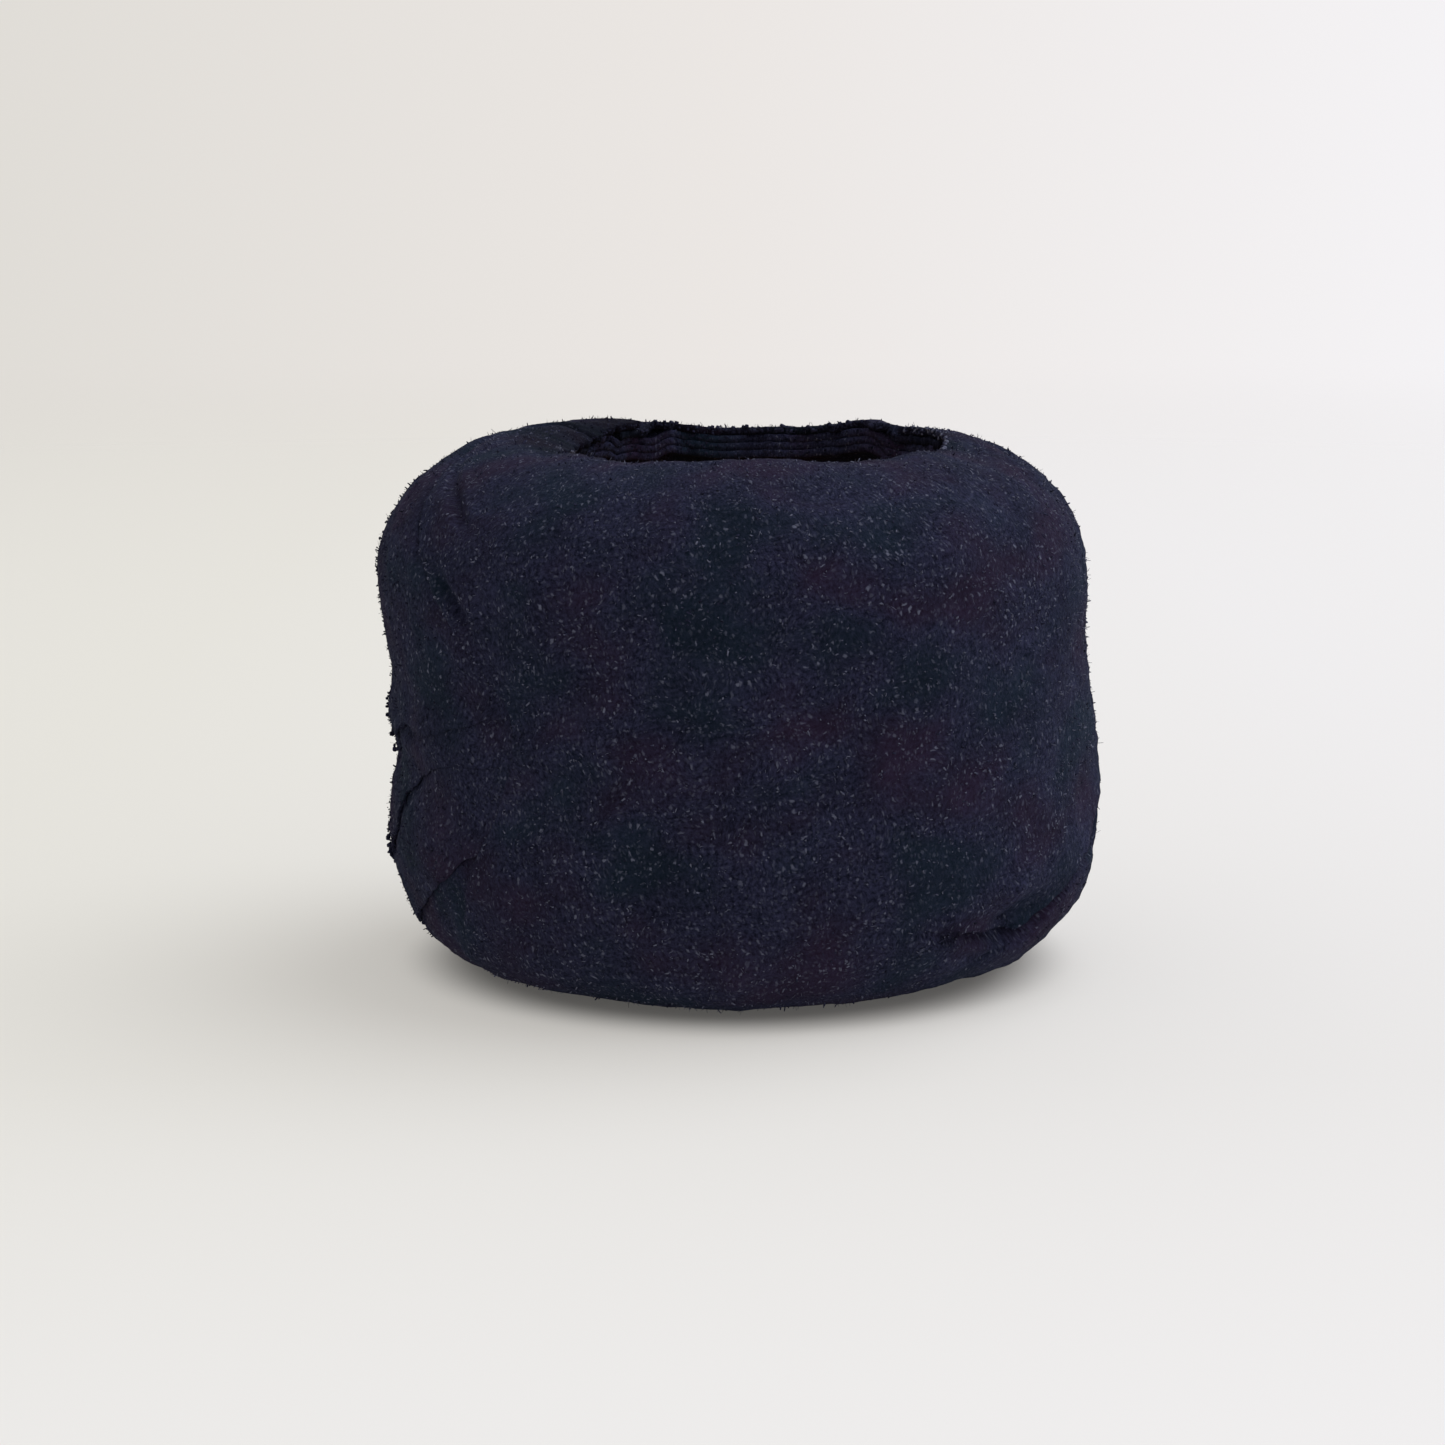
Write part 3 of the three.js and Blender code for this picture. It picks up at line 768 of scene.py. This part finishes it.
def waver(run, seed, size=0.07):
    """The small unevenness of a cut edge that runs down, in millimetres."""
    spot = np.stack([run, np.zeros_like(run), np.zeros_like(run)], -1)
    return size * (waves(spot, 1.9, seed) + 0.5 * waves(spot, 0.9, seed + 1))


def waver_round(azimuth, seed, size=0.07, length=2.6):
    """The same for a cut edge that runs round."""
    turn = np.radians(azimuth)
    spot = RADIUS * np.stack([np.sin(turn), np.cos(turn), np.zeros_like(turn)], -1)
    return size * (waves(spot, length, seed) + 0.5 * waves(spot, length * 0.46, seed + 1))


DEGREES = math.degrees(1 / RADIUS)      # in a millimetre round the drum


def full(azimuth, run):
    return np.full(np.broadcast(azimuth, run).shape, CLOTH)


# ---- front strip ----
def front_drop(azimuth, down):
    bottom = front_bottom(azimuth) + waver_round(azimuth, 31)
    return mix(rim_run(azimuth) + waver_round(azimuth, 33, 0.1), bottom, down)


def front_side(across, down):
    run = mix(-2.0, UNDER_EDGE, down)
    left = front_left(run) + waver(run, 35) * DEGREES
    return mix(left, front_right(run) + waver(run, 37) * DEGREES, across)


def front_thick(azimuth, run):
    """Full cloth, but thin along the left edge and pressed flat along the lower part of it."""
    inside = np.maximum(azimuth - front_left(run), 0)
    edge = mix(LAP_CLOTH, PRESSED, smoothstep(run, run_at(25), run_at(20.5)))
    edge = mix(CLOTH, edge, smoothstep(run, 0, 3))
    low = front_bottom(azimuth)
    pressed = (smoothstep(azimuth, 18, 28) * (1 - smoothstep(azimuth, 46, 54))
               * smoothstep(run, low - 3.5, low - 0.8))
    return mix(mix(edge, CLOTH, smoothstep(inside, 0, 8)), PRESSED, pressed)


def front_depth(azimuth, run):
    """The lower right corner stands open over the layer below."""
    corner = smoothstep(azimuth, 56, 72) * smoothstep(run, front_bottom(azimuth) - 3.5,
                                                      front_bottom(azimuth))
    return -0.28 * corner


def pocket(azimuth, run):
    """Depth of the hollow behind the open corner."""
    wrapped = wrap(azimuth)
    edge = front_bottom(wrapped)
    shut = edge + pocket_open(wrapped)
    slot = (pocket_depth(wrapped) * smoothstep(run, edge - 4, edge - 1.2)
            * (1 - smoothstep(run, shut, shut + 0.6)))
    side = (smoothstep(wrapped, 64, 70) * (1 - smoothstep(wrapped, 82, 86))
            * smoothstep(run, run_at(13.5), run_at(11.5))
            * (1 - smoothstep(run, run_at(8.2), run_at(7.2))))
    return np.maximum(slot, SIDE_POCKET * side)


front = Strip("front_strip", "front_wrap", FRONT_CLOTH, front_side, front_drop, front_depth,
              front_thick, columns_for(160), rows_for(UNDER_EDGE))

# ---- left strip: over the back strip, under the front strip ----
def left_side(across, down):
    run = mix(-2.5, run_at(15), down)
    return mix(left_end(run) + waver(run, 41) * DEGREES, front_left(run) + LAP, across)


def left_drop(azimuth, down):
    return mix(rim_run(azimuth) + waver_round(azimuth, 43, 0.1),
               left_bottom(azimuth) + waver_round(azimuth, 44), down)


def sink_under_front(azimuth, run):
    """Sinks under the front strip's left edge, as deep as the cloth there is thick."""
    edge = front_left(run) - 1.0
    upper = (1 - smoothstep(run, run_at(23), run_at(18.5))) * smoothstep(run, 2, 5)
    gap = 0.42 * np.exp(-((azimuth - edge - 0.3) / 1.3)**2) * upper
    return (front_thick(azimuth, run) + SLACK) * smoothstep(azimuth, edge - RAMP, edge) + gap


def thin(azimuth):
    """The strips on the left, pressed flat towards the front, where their lower edges fade."""
    return mix(LAP_CLOTH, PRESSED, smoothstep(azimuth, -70, -52))


def left_thick(azimuth, run):
    return mix(CLOTH, thin(azimuth), smoothstep(run, 1, 4))


left = Strip("left_strip", "left_wrap", LEFT_CLOTH, left_side, left_drop, sink_under_front,
             left_thick, columns_for(60), rows_for(run_at(14)))


# ---- waist and lower strips ----
def low_side(top):
    def side(across, down):
        run = mix(top(-60.0) - 4, top(-60.0) + 8, down)
        return mix(left_end(run) - 1.5, front_left(run) + LAP, across)
    return side


def low_drop(top, bottom, seed):
    def drop(azimuth, down):
        return mix(top(azimuth) - 3.0, bottom(azimuth) + waver_round(azimuth, seed), down)
    return drop


def low_depth(top):
    """Sinks under the strip above and under the front strip."""
    def depth(azimuth, run):
        edge = top(azimuth)
        above = smoothstep(run, edge + 1.3, edge + 0.2) * (thin(azimuth) + SLACK)
        return above + sink_under_front(azimuth, run)
    return depth


def low_thick(azimuth, run):
    return thin(azimuth)


waist = Strip("waist_strip", "waist_wrap", TILTED_CLOTH, low_side(left_bottom),
              low_drop(left_bottom, waist_bottom, 51), low_depth(left_bottom), low_thick,
              columns_for(58), rows_for(11))
lower = Strip("lower_strip", "lower_wrap", TILTED_CLOTH, low_side(waist_bottom),
              low_drop(waist_bottom, lower_bottom, 53), low_depth(waist_bottom), low_thick,
              columns_for(50), rows_for(12))


# ---- back strip ----
BACK_BOTTOM = run_at(2.6)
back_bottom = edge_by_azimuth([(62, 13), (80, 13.8), (86, 10.5), (90, 6)],
                              known=[(95, BACK_BOTTOM - 0.6), (101, BACK_BOTTOM)])


def back_side(across, down):
    run = mix(0, BACK_BOTTOM, down)
    return mix(front_right(run) - 26, 360 + left_end(run) + LAP, across)


def back_drop(azimuth, down):
    wrapped = wrap(azimuth)
    return mix(rim_run(wrapped) + waver_round(azimuth, 61, 0.12),
               back_bottom(azimuth) + waver_round(azimuth, 62), down)


def back_depth(azimuth, run):
    first = front_right(run) + 1
    last = 360 + left_end(run) - 1
    return (PITCH * (1 - smoothstep(azimuth, first, first + RAMP)
                     + smoothstep(azimuth, last - RAMP, last))
            + pocket(azimuth, run))


back = Strip("back_strip", "back_wrap", FRONT_CLOTH, back_side, back_drop, back_depth, full,
             columns_for(230), rows_for(BACK_BOTTOM))


# ---- inner wraps: whole turns whose raw upper edges lie one below the other ----
def lap_weight(azimuth, run):
    """1 where two strips of the outside layer lie over each other."""
    wrapped = wrap(azimuth)
    edge_left, edge_right, end = front_left(run), front_right(run), left_end(run)

    def between(low, high):
        return smoothstep(wrapped, low - 6, low) * (1 - smoothstep(wrapped, high, high + 6))

    laps = between(edge_left - RAMP, edge_left + LAP)
    laps = np.maximum(laps, between(edge_right - 27, edge_right + RAMP))
    laps = np.maximum(laps, between(end - RAMP, end + LAP))
    low = smoothstep(run, run_at(18), run_at(15))
    return np.maximum(laps, low)


def ring_side(across, down):
    return across * 360


LIP_PRESS = 0.08           # how much closer the layers lie at the mouth
# Rows of an inner turn, closest where it shows in the mouth.
PACED = np.concatenate([np.linspace(0, 0.2, 34), np.linspace(0.22, 1, 30)])
turns = []
for number, (node, start, end_run) in enumerate([("third_wrap", 0.08, BASE_START + 7),
                                                 ("second_wrap", 0.02, BASE_START + 4),
                                                 ("first_wrap", -0.04, BASE_START + 0.5)], 1):
    def ring_drop(azimuth, down, start=start, end_run=end_run, number=number):
        top = start + rim_run(azimuth - 360 * (azimuth > 180))
        ragged = waver_round(azimuth, 70 + number, 0.07) + waver_round(azimuth, 90, 0.14, 7)
        return mix(top + ragged, end_run, down)

    def ring_depth(azimuth, run, number=number):
        pressed = LIP_PRESS * number * (1 - smoothstep(run, 1, 4))
        return PITCH * (number + lap_weight(azimuth, run)) + pocket(azimuth, run) - pressed

    turns.append(Strip(node.replace("wrap", "turn"), node, INNER_CLOTH, ring_side, ring_drop,
                       ring_depth, full, np.linspace(0, 1, 481), PACED, ring=True))
third, second, first = turns


# ---- base cloth ----
BASE_HUB = 0.4             # radius in which the base cloth is closed over its middle
skirt = edge_by_azimuth([(-88, 4.5), (-64, 7.5), (-50, 11), (-38, 11), (0, 8), (30, 8), (46, 7),
                         (60, 8.6), (70, 10.4), (79, 12.6), (86, 13), (94, 9)],
                        known=[(azimuth, BACK_BOTTOM - 4) for azimuth in (-180, -98, 103, 180)])


def base_side(across, down):
    return across * 360 - 180


def base_drop(azimuth, down):
    top = skirt(azimuth) + waver_round(azimuth, 81)
    return mix(top, BASE_END - BASE_HUB, down)


def base_depth(azimuth, run):
    """On the outside under the base, sunk under the strips that come down over it."""
    under_front = (smoothstep(azimuth, -62, -54) * (1 - smoothstep(azimuth, 24, 34))
                   * (1 - smoothstep(run, UNDER_EDGE + 0.3, UNDER_EDGE + 1.6)))
    left_edge = np.where(azimuth < -43, lower_bottom(azimuth), 0)
    under_left = (smoothstep(azimuth, -98, -90) * (1 - smoothstep(azimuth, -56, -46))
                  * (1 - smoothstep(run, left_edge + 0.2, left_edge + 1.2)))
    edge = np.maximum(np.where(azimuth < 88.5, front_bottom(azimuth), 0),
                      np.where(azimuth > 82, back_bottom(azimuth), 0))
    under_right = smoothstep(azimuth, 24, 34) * (1 - smoothstep(run, edge + 0.15, edge + 0.75))
    behind = (azimuth < -84) * (1 - smoothstep(run, BACK_BOTTOM + 0.25, BACK_BOTTOM + 1.8))
    sunk = np.maximum(np.maximum(under_front, under_left), np.maximum(under_right, behind))
    deep = mix(PRESSED + SLACK, PITCH, smoothstep(azimuth, 46, 54) + (azimuth < 24))
    on_left = smoothstep(azimuth, -90, -84) * (1 - smoothstep(azimuth, -52, -43))
    deep = mix(deep, thin(azimuth) + SLACK, on_left)
    return deep * sunk + pocket(azimuth, run)


base = Strip("base_round", "base_cloth", TILTED_CLOTH, base_side, base_drop, base_depth, full,
             np.linspace(0, 1, 601), rows_for(22), ring=True, cup=True)

# ---- frays ----
CUT = (STUBS, HAIRS)
LIP = (STUBS, FUZZ)
CLUMPS = (LUMPS, FUZZ)
RIM = (STUBS, LUMPS, HAIRS)
# Each row: the edge, where on it the threads start and stop (0 to 1), their kinds, and a factor
# on their number.
frays = {
    front: fray(front, [("top", 0.03, 0.22, (STUBS,), 0.8), ("top", 0.22, 0.76, LIP, 1),
                        ("top", 0.76, 1, RIM, 1), ("right", 0, 1, CUT, 1),
                        ("left", 0.05, 0.42, (STUBS,), 0.5), ("bottom", 0.72, 1, CUT, 0.6)],
                 101, YARN, nap_to=run_at(3)),
    left: fray(left, [("top", 0, 0.72, LIP, 1), ("left", 0, 1, LIP, 0.6),
                      ("left", 0.88, 1, CLUMPS, 1.6), ("bottom", 0, 0.3, CUT, 0.8)],
               102, DARK_YARN),
    waist: fray(waist, [("bottom", 0, 0.35, CUT, 0.7), ("left", 0.3, 1, LIP, 0.6),
                        ("left", 0.7, 1, CLUMPS, 1.6)], 103, DARK_YARN),
    lower: fray(lower, [("bottom", 0, 0.4, CUT, 0.7), ("left", 0.3, 1, LIP, 0.6),
                        ("left", 0.85, 1, CLUMPS, 1.6)], 104, DARK_YARN),
    back: fray(back, [("top", 0.15, 0.92, RIM, 1), ("bottom", 0.08, 1, CUT, 0.8)], 105,
               DARK_YARN),
    base: fray(base, [], 109, DARK_YARN, nap_from=run_at(6), nap_to=run_at(3.2)),
}
for number, turn in enumerate(turns):
    frays[turn] = fray(turn, [("top", 0, 1, (STUBS, FUZZ), 1)], 106 + number, DARK_YARN,
                       with_nap=False)

# ---- the rosin cake ----
ROSIN_LOW, ROSIN_HIGH = (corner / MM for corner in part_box("rosin_block"))
ROSIN_RADIUS = (ROSIN_HIGH.x - ROSIN_LOW.x) / 2
ROSIN_ROUND = 2.2          # of the cake's upper edge
ROSIN_UNDER = 4.0          # from the drum's outline in to the cake's foot
ROSIN_HUB = 0.02           # radius of the small faces that close its top and bottom
ROSIN_TOP_ROWS, ROSIN_COLUMNS = 110, 360


def rosin_outline():
    """Radius and height, from the middle of the top, over the round edge, down and in."""
    flat = np.linspace(ROSIN_HUB, ROSIN_RADIUS - ROSIN_ROUND, ROSIN_TOP_ROWS)
    top = np.stack([flat, np.full(ROSIN_TOP_ROWS, ROSIN_HIGH.z)], 1)
    angle = np.linspace(0, math.pi / 2, 20)[1:]
    edge = np.stack([ROSIN_RADIUS - ROSIN_ROUND + ROSIN_ROUND * np.sin(angle),
                     ROSIN_HIGH.z - ROSIN_ROUND + ROSIN_ROUND * np.cos(angle)], 1)
    radius, height, out, up = outline(np.linspace(run_at(14), BASE_START, 60))
    foot = np.stack([radius - ROSIN_UNDER * out, height - ROSIN_UNDER * up], 1)
    foot = foot[foot[:, 0] <= ROSIN_RADIUS]
    middle = np.array([[ROSIN_HUB, ROSIN_LOW.z]])
    return np.concatenate([top, edge, foot, middle])


def rosin_cake():
    profile = rosin_outline()
    turn = np.linspace(0, 2 * math.pi, ROSIN_COLUMNS, endpoint=False)
    points = np.stack([profile[:, 0:1] * np.sin(turn), -profile[:, 0:1] * np.cos(turn),
                       np.repeat(profile[:, 1:2], ROSIN_COLUMNS, 1)], -1)
    across = points[..., 1] * math.cos(GROOVE_TURN) + points[..., 0] * math.sin(GROOVE_TURN)
    on_top = smoothstep(points[..., 2], ROSIN_HIGH.z - 3, ROSIN_HIGH.z - 0.5)
    groove = GROOVE_DEPTH * np.exp(-(across / (GROOVE_WIDTH * 0.42))**4)
    scratch = 0.035 * waves(np.stack([across * 6, points[..., 0] * 0.1, points[..., 2] * 0], -1),
                            3, seed=201)
    pits = np.clip(waves(points, 1.3, seed=202) - 1.6, 0, 1) * 0.35
    points[..., 2] -= (groove + np.abs(scratch) + pits) * on_top
    chips = np.clip(waves(points, 3.2, seed=203) - 0.9, 0, 1) * 0.5
    near_edge = smoothstep(np.hypot(points[..., 0], points[..., 1]), ROSIN_RADIUS - 3.5,
                           ROSIN_RADIUS - 1)
    points[..., 2] -= chips * near_edge * on_top
    deep, wide = points.shape[:2]
    index = np.arange(deep * wide).reshape(deep, wide)
    index = np.concatenate([index, index[:, :1]], 1)
    faces = cells(index).tolist()
    faces += [index[0, :-1].tolist(), index[-1, -2::-1].tolist()]
    cake = new_object("rosin_cake", points.reshape(-1, 3), faces, rosin_material())
    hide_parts("rosin_block")
    return cake


cake = rosin_cake()

# Each piece of cloth as it was cut: width and length, its area where it isn't a rectangle, how
# it is held and what it lies on. The real strips run on further under their neighbours.
CUTS = {
    front: (60, 50, 2100, "stretched", [back, left, third]),
    left: (24, 40, 445, "stretched", [back, third]),
    waist: (24, 11, 157, "stretched", [back, third]),
    lower: (26, 13, 203, "stretched", [back, third]),
    back: (95, 48, 3070, "stretched", [third]),
    base: (54, 54, 2230, "gathered", [third]),
    third: (144, 48, None, "gathered", [second]),
    second: (140, 43, None, "gathered", [first]),
    first: (137, 37, None, "gathered", [cake]),
}
for strip, (width, length, area, held, under) in CUTS.items():
    [getattr(thing, "object", thing).name for thing in under]
    area and area * MM**2

for thing in bpy.data.objects:
    if thing.get("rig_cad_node") == "backing_disc" or thing.name == "backing_disc":
        card = card_material()
        for slot in thing.material_slots:
            slot.material = card
        if not thing.material_slots:
            thing.data.materials.append(card)

# ================= camera, light, floor =================
EYE_DISTANCE = 9.0 * RADIUS
EYE_HEIGHT = 2.165 * RADIUS
EYE_SIDE = -0.84           # puts the drum where it stands in the picture, right of the middle
LOOK_HEIGHT = 0.666 * RADIUS
camera = bpy.data.objects.new("camera", bpy.data.cameras.new("camera"))
bpy.context.collection.objects.link(camera)
camera.data.sensor_width = 36
camera.data.lens = 80.1
camera.data.clip_start = 0.005
camera.location = Vector((EYE_SIDE, -EYE_DISTANCE, EYE_HEIGHT)) * MM
looking = Vector((0, EYE_DISTANCE, LOOK_HEIGHT - EYE_HEIGHT))
camera.rotation_euler = looking.to_track_quat("-Z", "Y").to_euler()
bpy.context.scene.camera = camera
bpy.context.scene.view_settings.view_transform = "Standard"

REACH = 3.0                # half the floor's side, in metres
TOWARDS = 0.09             # painted light: how much brighter the floor's own glow is drawn near the camera
# Under and close round the drum the glow is turned down: a painted contact shadow on the floor.
HEEL_GLOW, HEEL_NEAR, HEEL_FAR = 0.2, 0.0165, 0.0225
floor_mesh = bpy.data.meshes.new("floor")
floor_mesh.from_pydata([(-REACH, -REACH, 0), (REACH, -REACH, 0), (REACH, REACH, 0),
                        (-REACH, REACH, 0)], [], [(0, 1, 2, 3)])
floor = bpy.data.objects.new("floor", floor_mesh)
bpy.context.collection.objects.link(floor)
# Painted light: the floor glows though it is no lamp, and so also lights the drum from below. The
# glow is drawn a little stronger on the right and towards the camera, and warmer on the left.
n = Nodes(bpy.data.materials.new("floor_paper"))
paper_at = n.coordinates()
side = n.spread(n.axis(paper_at, 0), -0.06, 0.06)
towards = n.spread(n.axis(paper_at, 1), -0.03, -0.12, to_high=TOWARDS)
tint = n.blend(side, (1, 0.965, 0.88, 1), (1, 0.975, 0.965, 1))
glow = n.math("MULTIPLY_ADD", side, 0.035, 0.375)
distance = n.add("ShaderNodeVectorMath", {0: paper_at}, operation="LENGTH").outputs["Value"]
# Painted shadow: the floor's glow falls to HEEL_GLOW under the drum.
painted_heel_shadow = n.spread(distance, HEEL_NEAR, HEEL_FAR, HEEL_GLOW, smooth=True)
n.surface({
    "Base Color": n.blend(side, (0.37, 0.36, 0.33, 1), (0.375, 0.365, 0.36, 1)),
    "Roughness": 0.9,
    "Specular IOR Level": 0.1,
    "Emission Color": n.blend(n.math("MULTIPLY", towards, 1 / TOWARDS), tint,
                              (0.985, 0.97, 0.995, 1)),
    "Emission Strength": n.math("MULTIPLY", n.math("ADD", glow, towards), painted_heel_shadow),
})
fade = n.spread(distance, 0.1, 0.75, smooth=True)
clear = n.add("ShaderNodeBsdfTransparent")
faded = n.add("ShaderNodeMixShader", {0: fade, 1: n.shader.outputs[0], 2: clear.outputs[0]})
n.put(n.tree.nodes["Material Output"].inputs["Surface"], faded.outputs[0])
floor_mesh.materials.append(n.owner)

# The room: what the camera sees of it is a pale wash, and as a light it is a dimmer one. Both are
# darker on the left.
world = bpy.data.worlds.new("studio")
bpy.context.scene.world = world
room = Nodes(world)
across_room = room.axis(room.coordinates("Generated"), 0)
seen, lit = room.tree.nodes["Background"], room.add("ShaderNodeBackground")
for background, reach, stops in (
        (seen, 0.22, ((0.0, (0.745, 0.72, 0.68)), (0.5, (0.83, 0.795, 0.77)),
                      (1.0, (0.91, 0.895, 0.915)))),
        (lit, 1.0, ((0.0, (0.44, 0.43, 0.42)), (0.5, (0.76, 0.76, 0.775)),
                    (1.0, (0.82, 0.82, 0.84))))):
    room.put(background.inputs[0], room.ramp(room.spread(across_room, -reach, reach), *stops))
camera_ray = room.add("ShaderNodeLightPath").outputs["Is Camera Ray"]
choose = room.add("ShaderNodeMixShader", {0: camera_ray, 1: lit.outputs[0], 2: seen.outputs[0]})
room.put(room.tree.nodes["World Output"].inputs["Surface"], choose.outputs[0])

WINDOW_AT, WINDOW_AIM = Vector((0.36, 0.14, 0.64)), Vector((0, 0, 0.02))
window = bpy.data.objects.new("window", bpy.data.lights.new("window", "AREA"))
window.data.shape, window.data.size = "DISK", 0.75
window.data.energy, window.data.color = 3.9, (0.88, 0.93, 1.0)
window.location = WINDOW_AT
window.rotation_euler = (WINDOW_AIM - WINDOW_AT).to_track_quat("-Z", "Y").to_euler()
bpy.context.collection.objects.link(window)
